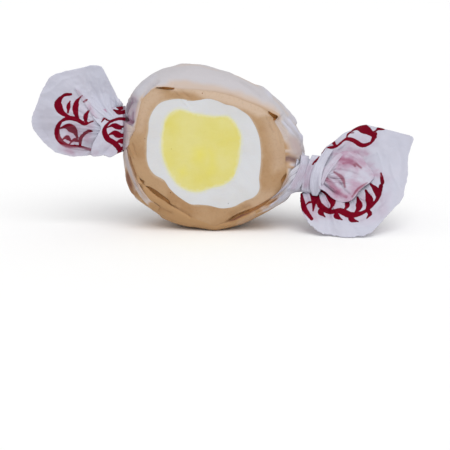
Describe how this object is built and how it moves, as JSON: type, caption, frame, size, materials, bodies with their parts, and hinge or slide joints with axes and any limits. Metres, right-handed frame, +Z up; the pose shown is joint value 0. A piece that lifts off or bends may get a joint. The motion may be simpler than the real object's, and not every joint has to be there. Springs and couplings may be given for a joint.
{
  "type": "salt water taffy",
  "caption": "Soft pulled candy in three nested colours, cut open across its core, in waxed paper twisted shut at both ends.",
  "frame": {"origin": "middle of the small flat spot underneath that the taffy rests on", "axes": "+Z up, +X towards the lower of the two twisted ends, -Y out of the cut face towards the viewer"},
  "size_m": [0.0603, 0.0224, 0.0262],
  "materials": {
    "lemon_taffy": "soft pulled sugar candy, matte",
    "white_taffy": "soft pulled sugar candy, matte",
    "tan_taffy": "soft pulled sugar candy, slightly waxy",
    "waxed_paper": "thin waxed paper, printed with plain crimson curls"
  },
  "bodies": {
    "root": {"lemon_core": "lemon_taffy", "white_layer": "white_taffy", "tan_coat": "tan_taffy", "wax_wrapper": "waxed_paper"}
  },
  "joints": []
}
